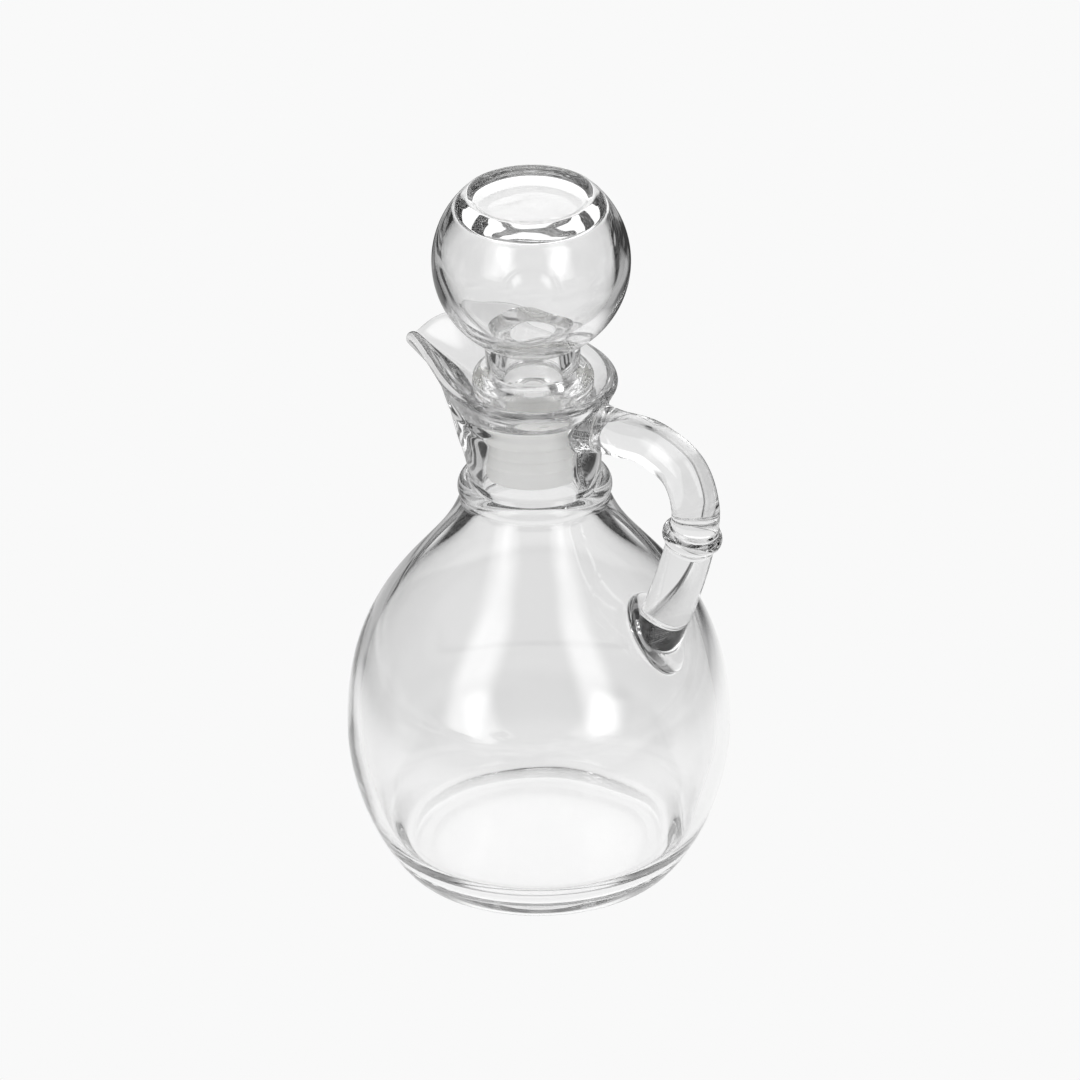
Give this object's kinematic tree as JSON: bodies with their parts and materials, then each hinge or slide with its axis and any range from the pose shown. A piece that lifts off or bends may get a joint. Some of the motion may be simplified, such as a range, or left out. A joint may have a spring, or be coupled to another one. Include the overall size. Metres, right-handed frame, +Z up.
{
  "type": "oil and vinegar cruet",
  "caption": "Clear glass cruet with an egg-shaped body, ringed neck, drawn pouring lip, solid loop handle and a hollow ball stopper in a plastic sleeve.",
  "frame": {"origin": "centre of the flat base, where the bottle's axis meets the surface it stands on", "axes": "+Z up along the bottle's axis, +X from the axis to the handle, pouring lip at -X, XZ is the plane of symmetry"},
  "size_m": [0.0971, 0.09, 0.1729],
  "materials": {
    "clear_glass": "polished",
    "sleeve_plastic": "satin"
  },
  "bodies": {
    "root": {"bottle": "clear_glass", "stopper": "clear_glass", "stopper_sleeve": "sleeve_plastic"}
  },
  "joints": []
}
